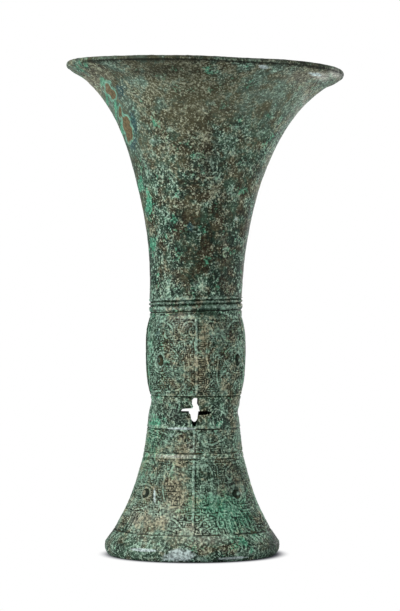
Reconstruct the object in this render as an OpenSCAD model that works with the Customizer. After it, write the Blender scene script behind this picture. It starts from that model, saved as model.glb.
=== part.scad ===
// A bronze gu: a tall beaker with a trumpet mouth, a swollen waist and a flared, hollow foot.
// The origin is the centre of the foot's standing ring, on the surface that it stands on.
// The pieces are listed from the foot upwards, and each seats in the one below it by a half lap.

/* [Foot] */
// Radius of the foot's standing rim
foot_r = 49.9; // [44:0.1:56]
// Height of the upright part of the rim
rim_h = 7.5; // [5:0.1:10]
// Thickness of the rim
rim_t = 3; // [2.2:0.1:5]
// Rounding of the rim's lower outer edge
rim_edge_r = 2; // [0.5:0.1:2.6]
// Height of the plain edge below the mask register, the rim included
foot_edge_h = 14.7; // [12:0.1:20]
// Height of the foot's mask register
foot_mask_h = 41.2; // [30:0.1:55]
// Height of the plain band between the foot's two registers
foot_band_h = 3.2; // [2:0.1:6]
// Height of the foot's narrow dragon register
dragon_h = 13.6; // [9:0.1:20]
// Share of the foot's spread that is a straight taper, the rest being the curve out to the rim
foot_taper_share = 0.25; // [0.1:0.05:0.5]
// Sharpness of the curve out to the rim
foot_curve = 2.9; // [2.2:0.1:4]

/* [Cross band] */
// Height of the plain band that the crosses pierce
cross_band_h = 18.3; // [17.5:0.1:26]
// Outer radius of the band, the slimmest place of the vessel
cross_band_r = 25.35; // [23.5:0.05:27]
// Length of the band's upper, straight part
cross_band_straight_h = 4; // [2:0.5:6]
// Width of a cross's upright slot
slot_w = 3.6; // [2:0.1:6]
// Height of a cross's upright slot
slot_h = 15.8; // [10:0.1:17]
// Metal left above the slot
slot_top_gap = 0.6; // [0.4:0.1:1.5]
// Span of a cross's two arms
arm_span = 17.3; // [10:0.1:22]
// Height of an arm
arm_h = 2; // [1:0.1:3]
// Middle of the cross below the slot's top
arm_drop = 8.1; // [6:0.1:10]
// Fall of the right arm below the left one, as the core tenons were set by hand
arm_offset = 1; // [0:0.1:1.5]

/* [Waist] */
// Height of the waist's mask panel
waist_panel_h = 45; // [36:0.5:56]
// Largest radius of the panel's ground
waist_r = 28.3; // [27.5:0.1:32]
// Step from the cross band out to the panel's lower edge
panel_step = 0.6; // [0.3:0.1:1.2]
// Fullness of the panel's swell, higher being flatter in the middle
swell_power = 2.6; // [2:0.1:4]
// Lift of the fullest place, below 1 being higher up the panel
swell_lift = 0.9; // [0.7:0.05:1]
// Height of the zone with the bow-string rings
ring_zone_h = 12.5; // [11.5:0.5:20]
// Number of bow-string rings
ring_count = 3; // [1:1:3]
// Distance from ring to ring
ring_pitch = 2.7; // [2:0.1:3]
// Thickness of a ring
ring_d = 1.8; // [1.2:0.1:2]
// Height that a ring stands proud
ring_rise = 0.55; // [0.3:0.05:0.8]
// Height of the lowest ring above the panel
ring_start = 4.4; // [3:0.1:4.5]

/* [Neck] */
// Outer radius of the neck where it starts, and of the ring zone
neck_r = 26.4; // [25.5:0.1:28]
// Height of the neck along its own axis, from its joint to the top of the lip
neck_h = 130.5; // [90:0.5:170]
// Lean of the neck towards the right, from the casting settling in its mould
neck_lean = 2.2; // [0:0.1:4]
// Outer radius of the mouth
mouth_r = 79.5; // [60:0.5:95]
// Share of the neck's spread in its slow curve, the rest being the quick flare at the mouth
slow_share = 0.69; // [0.5:0.01:0.9]
// Sharpness of the quick flare at the mouth
flare_power = 9.2; // [4:0.1:12]
// Thickness of the lip's rounded bead
lip_d = 3.6; // [2.6:0.1:5]
// Height that the bead stands proud of the neck's outside
lip_proud = 0.2; // [0.1:0.05:0.4]

/* [Walls and joints] */
// Thickness of the neck's and the foot's walls
wall = 2; // [1.6:0.1:2.4]
// Length of each half-lap joint
lap_h = 4; // [3:0.5:6]
// Gap all round inside a lap, filled by the join
lap_fit = 0.04; // [0.02:0.01:0.1]
// Thickness of the beaker's floor
floor_t = 2.2; // [1.5:0.1:3.5]
// Width of the ledge that holds the floor down
floor_ledge = 0.8; // [0.4:0.1:1.2]

/* [Ornament] */
// Width of the grooves that part the registers
groove_w = 0.9; // [0.6:0.1:1.2]
// Width of the mould seams at the front and the back
seam_w = 1; // [0.6:0.1:2]
// Height that a seam stands proud
seam_rise = 0.3; // [0.15:0.05:0.6]
// Width of the masks' nose ridges at the two sides
nose_w = 2.6; // [1.5:0.1:4]
// Height that a nose ridge stands proud on the waist
nose_rise = 0.55; // [0.3:0.05:1]
// Height that a nose ridge stands proud on the foot, where it is more worn
foot_nose_rise = 0.3; // [0.2:0.05:1]
// Angle from a mask's nose to its eyes on the waist
waist_eye_angle = 42; // [30:1:55]
// Height of the waist's eyes above the panel's lower edge
waist_eye_z = 20; // [12:0.5:30]
// Width of a waist eye
waist_eye_w = 5.2; // [3:0.1:8]
// Height of a waist eye
waist_eye_h = 7.4; // [4:0.1:10]
// Angle from a mask's nose to its eyes on the foot
foot_eye_angle = 39; // [28:1:55]
// Height of the foot's eyes above the mask register's lower edge
foot_eye_z = 20.3; // [12:0.1:28]
// Width of a foot eye
foot_eye_w = 8; // [5:0.1:11]
// Height of a foot eye
foot_eye_h = 6.2; // [4:0.1:9]
// Height that an eye stands proud
eye_rise = 1.1; // [0.5:0.1:2]

/* [Chaplets] */
// Side of a chaplet, a square plug that held the core
chaplet_w = 5; // [3:0.5:7]
// Number of chaplets round the neck
neck_chaplet_count = 4; // [2:1:6]
// Height of the neck's chaplets above its joint
neck_chaplet_z = 14; // [8:1:30]
// Number of chaplets in the floor
floor_chaplet_count = 3; // [2:1:5]
// Distance of the floor's chaplets from its middle
floor_chaplet_r = 12; // [8:0.5:16]

/* [Hidden] */
$fn = 96;

// Steps along each curved outline
flare_steps = 26;
swell_steps = 18;
edge_steps = 5;
// Depth that added relief is rooted in the wall, and reach of a tool past what it cuts
root = 0.6;
past = 1;

// Heights of the joints and registers above the standing surface
mask_top = foot_edge_h + foot_mask_h;
band_top = mask_top + foot_band_h;
dragon_top = band_top + dragon_h;
foot_h = dragon_top + cross_band_h;
taper_top = foot_h - cross_band_straight_h;
floor_z = foot_h + lap_h;
ledge_z = floor_z + floor_t;
panel_top = foot_h + waist_panel_h;
joint_z = panel_top + ring_zone_h;

// Radii at the joints and of the bore
foot_lap_r = cross_band_r - wall / 2;
bore_low_r = foot_lap_r - floor_ledge;
bore_top_r = neck_r - wall;
neck_lap_r = neck_r - wall / 2;
panel_low_r = cross_band_r + panel_step;
lip_r = lip_d / 2;

// A spread from 0 to 1 along a flare: a slow part and a quick part
function spread(u, share, slow, quick) = share * pow(u, slow) + (1 - share) * pow(u, quick);

// How fast it spreads
function spread_rate(u, share, slow, quick) =
    share * slow * pow(u, slow - 1) + (1 - share) * quick * pow(u, quick - 1);

// Outward unit normal of an outline that gains dr while it rises dz
function outward(dr, dz) = [dz, -dr] / norm([dr, dz]);

// Even steps, drawn closer together towards the far end, where a flare bends most
function steps(n) = [for (i = [0 : n]) 1 - pow(1 - i / n, 1.4)];

// The foot's outer radius at a height, its relief left out
function foot_radius(z) =
    let (u = max(0, min(1, (taper_top - z) / (taper_top - rim_h))))
    cross_band_r + (foot_r - cross_band_r) * spread(u, foot_taper_share, 1, foot_curve);

function foot_normal(z) =
    let (
        u = (taper_top - z) / (taper_top - rim_h),
        dr = (foot_r - cross_band_r) * spread_rate(u, foot_taper_share, 1, foot_curve)
    )
    outward(-dr, taper_top - rim_h);

// The waist panel's outer radius at a height, its relief left out
function waist_radius(z) =
    let (
        down = max(0, min(1, (panel_top - z) / waist_panel_h)),
        end_r = neck_r + (panel_low_r - neck_r) * down,
        full = 1 - pow(abs(2 * pow(down, swell_lift) - 1), swell_power)
    )
    end_r + (waist_r - (neck_r + panel_low_r) / 2) * full;

// The neck's outside stops where the lip's bead begins
mouth_normal = outward(
    (mouth_r - neck_r) * spread_rate(1, slow_share, 2, flare_power),
    neck_h
);
lip_centre = [mouth_r - lip_r, neck_h - lip_r];
neck_end = lip_centre + (lip_r - lip_proud) * mouth_normal;

function neck_point(u) = [
    neck_r + (neck_end.x - neck_r) * spread(u, slow_share, 2, flare_power),
    neck_end.y * u
];

function neck_normal(u) = outward(
    (neck_end.x - neck_r) * spread_rate(u, slow_share, 2, flare_power),
    neck_end.y
);

function backwards(points) = [for (i = [len(points) - 1 : -1 : 0]) points[i]];

// Share of its rise that a ridge has at a share of its length: it dips into the wall at both ends
function ridge_share(along) = min(1, 9 * along * (1 - along) - 0.3);

// A band over a turned outline, rooted in the wall, for ridges that follow it
module skin_of_foot(low, high, rise) {
    levels = [for (i = [0 : swell_steps]) low + (high - low) * i / swell_steps];
    rotate_extrude()
        polygon(concat(
            [
                for (i = [0 : swell_steps])
                    [foot_radius(levels[i]) + rise * ridge_share(i / swell_steps), levels[i]]
            ],
            backwards([for (z = levels) [foot_radius(z) - root, z]])
        ));
}

module skin_of_waist(low, high, rise) {
    levels = [for (i = [0 : swell_steps]) low + (high - low) * i / swell_steps];
    rotate_extrude()
        polygon(concat(
            [
                for (i = [0 : swell_steps])
                    [waist_radius(levels[i]) + rise * ridge_share(i / swell_steps), levels[i]]
            ],
            backwards([for (z = levels) [waist_radius(z) - root, z]])
        ));
}

// A wall across the vessel, which a skin is cut to, to leave a ridge on each of two opposite sides
module slab(width, turn) {
    reach = 2 * foot_r + 4 * past;
    rotate([0, 0, turn])
        translate([-reach / 2, -width / 2, 0])
            cube([reach, width, joint_z]);
}

// The two mould seams and the two nose ridges of a register
module foot_ridges() {
    intersection() {
        skin_of_foot(foot_edge_h, mask_top, seam_rise);
        slab(seam_w, 90);
    }
    intersection() {
        skin_of_foot(band_top, dragon_top, seam_rise);
        slab(seam_w, 90);
    }
    intersection() {
        skin_of_foot(foot_edge_h, mask_top, foot_nose_rise);
        slab(nose_w, 0);
    }
}

module waist_ridges() {
    intersection() {
        skin_of_waist(foot_h + groove_w, panel_top - groove_w, seam_rise);
        slab(seam_w, 90);
    }
    intersection() {
        skin_of_waist(foot_h + groove_w, panel_top - groove_w, nose_rise);
        slab(nose_w, 0);
    }
}

// A mask's eyes: an oval boss on each side of each of the two noses
module eyes(radius, z, angle, width, height) {
    for (nose = [0, 180], side = [-1, 1])
        rotate([0, 0, nose + side * angle])
            translate([radius - root, 0, z])
                scale([(eye_rise + root) / (width / 2), 1, height / width])
                    sphere(d = width);
}

// A groove turned into the outside at one height
module groove(radius, z) {
    rotate_extrude()
        translate([radius + groove_w / 6, z])
            circle(d = groove_w);
}

// A cross-shaped hole through both sides of the foot's plain band
module crosses() {
    slot_top = foot_h - slot_top_gap;
    arm_z = slot_top - arm_drop;
    rotate([90, 0, 0])
        linear_extrude(height = 4 * cross_band_r, center = true) {
            translate([-slot_w / 2, slot_top - slot_h])
                square([slot_w, slot_h]);
            translate([-arm_span / 2, arm_z - arm_h / 2 + arm_offset / 2])
                square([arm_span / 2, arm_h]);
            translate([0, arm_z - arm_h / 2 - arm_offset / 2])
                square([arm_span / 2, arm_h]);
        }
}

module foot_blank() {
    levels = [for (u = steps(flare_steps)) taper_top - (taper_top - rim_h) * u];
    outside = [for (z = levels) [foot_radius(z), z]];
    inside_all = [for (z = levels) [foot_radius(z), z] - wall * foot_normal(z)];
    inside = [for (p = inside_all) if (p.x < foot_r - rim_t) p];
    edge = [
        for (i = [0 : edge_steps])
            let (turn = 90 * i / edge_steps)
            [
                foot_r - rim_edge_r * (1 - cos(turn)),
                rim_edge_r * (1 - sin(turn))
            ]
    ];
    rotate_extrude()
        polygon(concat(
            [
                [cross_band_r - wall, floor_z],
                [foot_lap_r - lap_fit, floor_z],
                [foot_lap_r - lap_fit, foot_h],
                [cross_band_r, foot_h]
            ],
            outside,
            edge,
            [[foot_r - rim_t, 0]],
            backwards(inside)
        ));
}

// The foot and the cross band, cast round the foot's core
module foot() {
    color("#4f6052")
        difference() {
            union() {
                foot_blank();
                foot_ridges();
                eyes(
                    foot_radius(foot_edge_h + foot_eye_z),
                    foot_edge_h + foot_eye_z,
                    foot_eye_angle,
                    foot_eye_w,
                    foot_eye_h
                );
            }
            crosses();
            for (z = [foot_edge_h, mask_top, band_top, dragon_top])
                groove(foot_radius(z), z);
        }
}

module floor_blank() {
    translate([0, 0, floor_z])
        cylinder(r = foot_lap_r - lap_fit, h = floor_t);
}

module floor_chaplet_holes() {
    for (i = [0 : floor_chaplet_count - 1])
        rotate([0, 0, 360 * i / floor_chaplet_count])
            translate([floor_chaplet_r - chaplet_w / 2, -chaplet_w / 2, floor_z - past])
                cube([chaplet_w, chaplet_w, floor_t + 2 * past]);
}

// The disc that closes the beaker above the crosses
module beaker_floor() {
    color("#5c5a45")
        difference() {
            floor_blank();
            floor_chaplet_holes();
        }
}

// The plugs that held the two cores apart, cast into the floor
module floor_chaplets() {
    color("#8a7a55")
        intersection() {
            floor_blank();
            floor_chaplet_holes();
        }
}

module waist_blank() {
    levels = [for (i = [0 : swell_steps]) foot_h + waist_panel_h * i / swell_steps];
    rotate_extrude()
        union() {
            polygon(concat(
                [
                    [bore_low_r, ledge_z],
                    [foot_lap_r, ledge_z],
                    [foot_lap_r, foot_h]
                ],
                [for (z = levels) [waist_radius(z), z]],
                [
                    [neck_r, joint_z + past],
                    [bore_top_r, joint_z + past]
                ]
            ));
            for (i = [0 : ring_count - 1])
                translate([neck_r + ring_rise - ring_d / 2, panel_top + ring_start + i * ring_pitch])
                    circle(d = ring_d);
        }
}

// What the leaning neck takes out of the waist's upper end
module neck_seat() {
    translate([0, 0, joint_z])
        rotate([0, neck_lean, 0]) {
            cylinder(r = 2 * neck_r, h = 4 * past + neck_r);
            translate([0, 0, -lap_h])
                cylinder(r = neck_lap_r, h = lap_h + past);
        }
}

// The swollen waist with its mask panel and the bow-string rings above it
module waist() {
    color("#55654f")
        difference() {
            union() {
                waist_blank();
                waist_ridges();
                eyes(
                    waist_radius(foot_h + waist_eye_z),
                    foot_h + waist_eye_z,
                    waist_eye_angle,
                    waist_eye_w,
                    waist_eye_h
                );
            }
            groove(panel_low_r, foot_h);
            groove(neck_r, panel_top);
            neck_seat();
        }
}

module neck_blank() {
    along = steps(flare_steps);
    rotate_extrude()
        union() {
            polygon(concat(
                [
                    [bore_top_r, -lap_h],
                    [neck_lap_r - lap_fit, -lap_h],
                    [neck_lap_r - lap_fit, 0]
                ],
                [for (u = along) neck_point(u)],
                backwards([for (u = along) neck_point(u) - wall * neck_normal(u)])
            ));
            translate(lip_centre)
                circle(r = lip_r);
        }
}

module neck_chaplet_holes() {
    for (i = [0 : neck_chaplet_count - 1])
        rotate([0, 0, 360 * (i + 0.5) / neck_chaplet_count])
            translate([bore_top_r / 2, -chaplet_w / 2, neck_chaplet_z - chaplet_w / 2])
                cube([neck_r, chaplet_w, chaplet_w]);
}

// Places what is drawn about the neck's own axis on the waist
module on_neck() {
    translate([0, 0, joint_z])
        rotate([0, neck_lean, 0])
            children();
}

// The trumpet: neck, flare and beaded lip, leaning with its seat
module trumpet_neck() {
    color("#4b5546")
        on_neck()
            difference() {
                neck_blank();
                neck_chaplet_holes();
            }
}

// The plugs that held the beaker's core in its mould, cast into the neck's wall
module neck_chaplets() {
    color("#8a7a55")
        on_neck()
            intersection() {
                neck_blank();
                neck_chaplet_holes();
            }
}

foot();
beaker_floor();
floor_chaplets();
waist();
trumpet_neck();
neck_chaplets();
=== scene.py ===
import math

import bmesh
import bpy
import numpy as np
from mathutils import Matrix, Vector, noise


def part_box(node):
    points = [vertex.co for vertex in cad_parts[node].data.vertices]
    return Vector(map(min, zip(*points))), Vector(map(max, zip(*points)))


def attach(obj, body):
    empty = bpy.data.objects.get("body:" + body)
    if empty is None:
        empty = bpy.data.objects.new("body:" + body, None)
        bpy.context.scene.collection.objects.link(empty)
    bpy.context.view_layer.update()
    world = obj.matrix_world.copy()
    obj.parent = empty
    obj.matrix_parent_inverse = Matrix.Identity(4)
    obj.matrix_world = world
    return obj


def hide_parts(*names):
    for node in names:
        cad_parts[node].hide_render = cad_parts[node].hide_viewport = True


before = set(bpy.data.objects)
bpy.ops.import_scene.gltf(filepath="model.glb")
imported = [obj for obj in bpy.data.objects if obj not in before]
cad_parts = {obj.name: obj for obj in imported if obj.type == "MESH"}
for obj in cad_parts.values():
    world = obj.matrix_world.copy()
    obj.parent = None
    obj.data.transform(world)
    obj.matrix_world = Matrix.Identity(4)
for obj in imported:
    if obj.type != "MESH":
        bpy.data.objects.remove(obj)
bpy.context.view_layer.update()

# Foot
# The hollow, flared foot and the plain band above it are one casting of leaded tin bronze.
# Its masks, dragons and square spirals come from the carved clay mould, and the two crosses
# are where tenons of the clay core went through the wall.
MM = 0.001
# Less than this, in mm, counts as nothing
TINY = 0.001


def box_in_mm(node_name):
    """The lowest and the highest corner of a CAD node, in mm."""
    return [[round(value / MM, 2) for value in corner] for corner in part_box(node_name)]


# Radii, heights and thicknesses are in mm, as every piece is until it is finished
FOOT_R = box_in_mm("foot")[1][0]
FLOOR_Z = box_in_mm("foot")[1][2]
FOOT_TOP = box_in_mm("waist")[0][2]
WALL = 2.0
LAP_FIT = 0.04
RIM_H = 7.5
RIM_T = 3.0
# Heights up to which the plain edge, the masks, the strip over them, the dragons and the flare go
EDGE_TOP = 14.7
MASK_TOP = 55.9
BAND_TOP = 59.1
DRAGON_TOP = 72.7
TAPER_TOP = 87.0
# Radii of the plain band with the crosses, and of the lap that carries the waist
CROSS_R = 25.35
FOOT_LAP_R = CROSS_R - WALL / 2
# Share of the flare's slow part, and the powers of its slow and its quick part
FOOT_FLARE = (0.25, 1, 2.9)
# Sides of the turned mesh, so many that the pattern's lines are sharp on it
FOOT_STEPS = 488
# The mould's pieces met a few degrees out of true
FOOT_TURN = -2.3

# The patterns are laid out in mm from the nose of each mask, at these radii
FOOT_MASK_R = 36.0
DRAGON_R = 27.5
# Side of the square that each spiral fills, and the turns that it makes
FOOT_SPIRAL_W = 3.9
FOOT_SPIRAL_TURNS = 1.6
DRAGON_SPIRAL_W = 3.3
SPIRAL_TURNS = 1.5
SPIRAL_DEEP = 0.34
RIBBON_RISE = 0.06
# Width of a ribbon's sloped edge, and how near its edge the spirals begin to fade and end
RIBBON_EDGE = 0.4
SPIRALS_FADE = 0.6
SPIRALS_END = 0.35
# How far the hand-cut lines stray from their drawing
STRAY = 0.5
# Middles and sizes of the eyes, across and up from the nose and the register's lower edge
FOOT_EYE = (25.8, 21.7)
FOOT_EYE_SIZE = (5.6, 5.4)
EYE_RISE = 0.95
DRAGON_EYE = (8.6, 7.2)
DRAGON_EYE_SIZE = (2.8, 2.4)
DRAGON_EYE_RISE = 0.3
EYE_RING_DEEP = 0.5
PUPIL_DEEP = 0.15
# An eye with the sunk ring round it ends at this many times the reach of its dome
EYE_END = 1.4
GROOVE_W = 0.9
GROOVE_DEEP = 0.4
BAND_EDGE_RISE = 0.2
FOOT_SEAM_X = 0.4
SEAM_W = 0.8
SEAM_RISE = 0.36
CRACK_FROM_SEAM = 1.15
CRACK_DEEP = 0.12
NOSE_W = 2.6
FOOT_NOSE_RISE = 0.3


def smooth_step(start, end, value):
    """Rises gently from 0 at the start to 1 at the end."""
    share = np.clip((value - start) / (end - start), 0, 1)
    return share * share * (3 - 2 * share)


def spread(share_up, slow_share, slow, quick):
    """How far a flare has spread, from 0 to 1, at a share of its height."""
    return slow_share * share_up**slow + (1 - slow_share) * share_up**quick


def foot_radius(height):
    """Radius of the foot's outside: the plain band, then the flare down to the rim."""
    down = np.clip((TAPER_TOP - height) / (TAPER_TOP - RIM_H), 0, 1)
    return CROSS_R + (FOOT_R - CROSS_R) * spread(down, *FOOT_FLARE)


def levels(start, end, spacing):
    """Heights from start on towards end, at about a spacing, without end itself."""
    return np.linspace(start, end, max(2, round(abs(end - start) / spacing) + 1))[:-1]


def turned(name, outline, steps):
    """An outline of (radius, height) pairs in mm, turned about the upright axis.

    It is closed first, unless it starts and ends on the axis.
    """
    shell = bmesh.new()
    corners = [shell.verts.new((radius, 0, height)) for radius, height in outline]
    sides = [shell.edges.new(pair) for pair in zip(corners, corners[1:])]
    if outline[0][0] > 0:
        sides.append(shell.edges.new((corners[-1], corners[0])))
    bmesh.ops.spin(
        shell,
        geom=corners + sides,
        cent=(0, 0, 0),
        axis=(0, 0, 1),
        angle=math.tau / 8,
        steps=steps // 8,
    )
    # The first eighth is doubled three times, which is far quicker than one long spin
    for share in (1 / 8, 1 / 4, 1 / 2):
        twin = bmesh.ops.duplicate(shell, geom=shell.verts[:] + shell.edges[:] + shell.faces[:])
        verts = [part for part in twin["geom"] if isinstance(part, bmesh.types.BMVert)]
        turn = Matrix.Rotation(math.tau * share, 3, "Z")
        bmesh.ops.rotate(shell, verts=verts, cent=(0, 0, 0), matrix=turn)
    bmesh.ops.remove_doubles(shell, verts=shell.verts, dist=TINY)
    bmesh.ops.recalc_face_normals(shell, faces=shell.faces)
    mesh = bpy.data.meshes.new(name)
    shell.to_mesh(mesh)
    shell.free()
    piece = bpy.data.objects.new(name, mesh)
    bpy.context.scene.collection.objects.link(piece)
    return piece


def points_of(mesh, kind="co"):
    """The places of a mesh's points, or their normals."""
    flat = np.empty(len(mesh.vertices) * 3, np.float32)
    mesh.vertices.foreach_get(kind, flat)
    return flat.reshape(-1, 3).astype(float)


def set_points(mesh, points):
    mesh.vertices.foreach_set("co", points.astype(np.float32).ravel())
    mesh.update()


def write_values(piece, name, values):
    """Keeps a number for each point of a piece, for its material to read."""
    layer = piece.data.attributes.new(name, "FLOAT", "POINT")
    layer.data.foreach_set("value", values.astype(np.float32))


def rough(points, size, octaves=3):
    """Fractal noise at each point, from about -1 to 1, with bumps of a size in mm."""
    return np.array([noise.fractal(p, 1.0, 2.0, octaves) for p in (points / size).tolist()])


def square_spirals(across, up, cell, turns):
    """Cast thunder pattern: 1 on the raised line of each square spiral and 0 in its groove."""
    column = np.floor(across / cell)
    row = np.floor(up / cell)
    x = (across / cell - column) * 2 - 1
    y = (up / cell - row) * 2 - 1
    x = np.where((row + column) % 2 > 0, -x, x)
    reach = np.maximum(np.maximum(abs(x), abs(y)), TINY)
    right = x >= abs(y)
    top = y > abs(x)
    left = -x >= abs(y)
    around = np.where(
        right,
        y / reach + 1,
        np.where(top, 3 - x / reach, np.where(left, 5 - y / reach, 7 + x / reach)),
    ) / 8
    # Lines and grooves are equally wide, with sloped sides
    wave = np.cos(math.tau * (reach * turns - around))
    return smooth_step(-0.45, 0.45, wave)


def rounded(points):
    """A stroke with its corners cut twice, so that it bends as a brushed line does."""
    line = np.array(points, float)
    for _ in range(2):
        near = 0.75 * line[:-1] + 0.25 * line[1:]
        far = 0.25 * line[:-1] + 0.75 * line[1:]
        line = np.vstack([line[:1], np.stack([near, far], 1).reshape(-1, 2), line[-1:]])
    return line


def gap_to(line, across, up):
    """Distance of each point from a stroke's middle line."""
    nearest = np.full(across.shape, 99.0)
    for (ax, ay), (bx, by) in zip(line[:-1], line[1:]):
        dx, dy = bx - ax, by - ay
        share = np.clip(((across - ax) * dx + (up - ay) * dy) / (dx * dx + dy * dy), 0, 1)
        gap = np.hypot(across - ax - share * dx, up - ay - share * dy)
        nearest = np.minimum(nearest, gap)
    return nearest


def register_relief(across, up, strokes, cell, turns):
    """Relief in mm: sunk square spirals, with the creature's ribbons standing among them."""
    ribbon = np.zeros(across.shape)
    cover = np.zeros(across.shape)
    for half, points in strokes:
        line = rounded(points)
        (left, low), (right, high) = line.min(0) - half - 1, line.max(0) + half + 1
        near = (across > left) & (across < right) & (up > low) & (up < high)
        gap = gap_to(line, across[near], up[near])
        raised = smooth_step(half + RIBBON_EDGE / 2, half - RIBBON_EDGE / 2, gap)
        ribbon[near] = np.maximum(ribbon[near], raised)
        cleared = smooth_step(half + SPIRALS_FADE, half + SPIRALS_END, gap)
        cover[near] = np.maximum(cover[near], cleared)
    ground = square_spirals(across, up, cell, turns) * (1 - cover)
    return SPIRAL_DEEP * (np.maximum(ground, ribbon) - 1) + RIBBON_RISE * ribbon


def with_eye(relief, across, up, centre, size, rise):
    """Sets a domed oval eye with a pupil and a sunk ring round it into a relief.

    Its reach comes second: 0 at its middle and 1 at the foot of its dome.
    """
    reach = np.hypot((across - centre[0]) / (size[0] / 2), (up - centre[1]) / (size[1] / 2))
    dome = rise * np.sqrt(np.clip(1 - reach**2, 0, 1))
    ring = EYE_RING_DEEP * smooth_step(0.25, 0.0, abs(reach - 1.14))
    pupil = PUPIL_DEEP * smooth_step(0.4, 0.2, reach)
    return np.where(reach < EYE_END, dome - ring - pupil, relief), reach


def shade_of(relief, reach, heart):
    """The relief as the patina reads it: 0 on the surface, -1 in a groove, 1 where it is rubbed.

    An eye is dark, with a rubbed lid round it and the given tone at its heart.
    """
    eye = heart + (-1 - heart) * smooth_step(0.3, 0.6, reach) + 2 * smooth_step(1.0, 1.25, reach)
    return np.where(reach < EYE_END, eye, relief / SPIRAL_DEEP)


def from_nose(points, turned_by):
    """Angle from the nearer of the two noses, near -X and +X, on a pattern that is turned a little."""
    turn = np.arctan2(points[:, 1], points[:, 0]) - math.radians(turned_by)
    turn = abs((turn + math.pi) % math.tau - math.pi)
    return np.minimum(turn, math.pi - turn)


# Ribbons of half a mask: half width, and points from the nose and the register's lower edge
FOOT_STROKES = [
    # Horn, brow, lower lid, snout and jaw
    (0.63, [(4.5, 26), (5.5, 33), (11, 38.6), (19, 39.4), (27, 38.4), (32.5, 34), (30, 29.5), (26, 31),
            (27, 34)]),
    (0.55, [(11, 22), (17, 26), (24.5, 27), (31, 25.6), (35.5, 21.5)]),
    (0.42, [(12, 14.5), (18, 12.6), (25, 12.6), (31, 15), (34.5, 18.5)]),
    (0.50, [(3.6, 23), (5, 16), (5.2, 10), (9, 5.8), (13.6, 7.6), (12.6, 11), (9.6, 10)]),
    (0.46, [(3.2, 2.2), (10, 2), (17, 3)]),
    # Ear bar, trunk, curled tail and claws
    (0.25, [(31.4, 29), (31.6, 18)]),
    (0.55, [(38, 37), (38.4, 28), (40, 20), (45, 14.6), (51.5, 15), (53.3, 19.6), (50, 22.6), (47.4, 20)]),
    (0.63, [(43, 27), (41.6, 34), (45.4, 38.8), (51, 37.6), (53, 32.6), (49.4, 29.6), (46, 31.6),
            (47.6, 34.6)]),
    (0.50, [(40, 12), (43, 7), (41.4, 2.2)]),
    (0.42, [(44, 9.6), (49.4, 8.4), (53, 4)]),
    (0.38, [(45.6, 4.2), (50, 2)]),
]
# Row of upright feathers under the mask
FOOT_STROKES += [(0.45, [(19.6 + 2.6 * i, 1.6), (20 + 2.6 * i, 8.4)]) for i in range(8)]

# Ribbons of a dragon: jaw and crest, lip, body with its curled tail, leg, wing and claw
DRAGON_STROKES = [
    (0.42, [(3.6, 3.6), (3.8, 9.6), (8, 12.2), (14, 11.2)]),
    (0.38, [(5.6, 2.2), (10, 1.9), (13.4, 4), (12.6, 6.6)]),
    (0.50, [(14.6, 7.6), (20, 9.4), (26, 7), (32, 4.4), (37.6, 6.2), (40, 10), (36.6, 12), (33.6, 9.8)]),
    (0.38, [(19, 5.2), (19.6, 1.9), (24, 1.9)]),
    (0.34, [(17, 12.2), (23, 12), (28, 10.4)]),
    (0.34, [(27.6, 2), (31.6, 1.6)]),
]


def in_register(low, high, height):
    """1 inside a register, eased to 0 just within its two edges."""
    return smooth_step(low + 0.2, low + 0.7, height) * smooth_step(high - 0.2, high - 0.7, height)


def with_seam(relief, points, seam_x, where):
    """Lays the flash of the mould's joint at front and back over a relief, with a crack beside it."""
    across = points[:, 0] - seam_x
    flash = smooth_step(SEAM_W / 2 + 0.3, SEAM_W / 2 - 0.2, abs(across)) * where
    crack = smooth_step(0.4, 0.1, abs(across - CRACK_FROM_SEAM)) * where
    return relief * (1 - flash) + SEAM_RISE * flash - CRACK_DEEP * crack


def with_nose(relief, off_nose, height, low, high, rise, where):
    """Lays the ridge of a mask's nose over a relief: it fades out at both ends."""
    ridge = smooth_step(NOSE_W / 2 + 0.3, NOSE_W / 2 - 0.3, off_nose) * where
    along = np.clip((height - low) / (high - low), 0, 1)
    kept = np.clip(9 * along * (1 - along) - 0.3, 0, 1)
    return relief * (1 - ridge) + rise * ridge * kept


def groove(off_line):
    """Share of its depth that a register's groove has at a distance from its middle line."""
    return smooth_step(GROOVE_W / 2 + 0.2, 0.1, abs(off_line))


def strayed(points):
    """How far the hand-cut pattern strays from its drawing at each point, across and up, in mm."""
    across = STRAY * rough(points, 6.0, 2) + STRAY / 2 * rough(points + 90, 2.2, 1)
    up = STRAY * rough(points + 50, 6.0, 2) + STRAY / 2 * rough(points + 20, 2.2, 1)
    return across, up


def worn(points):
    """Share of its depth that the pattern has kept at each point."""
    return np.clip(0.8 + 0.7 * rough(points, 14.0, 2) + 0.5 * rough(points, 3.0, 1), 0.2, 1.15)


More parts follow.
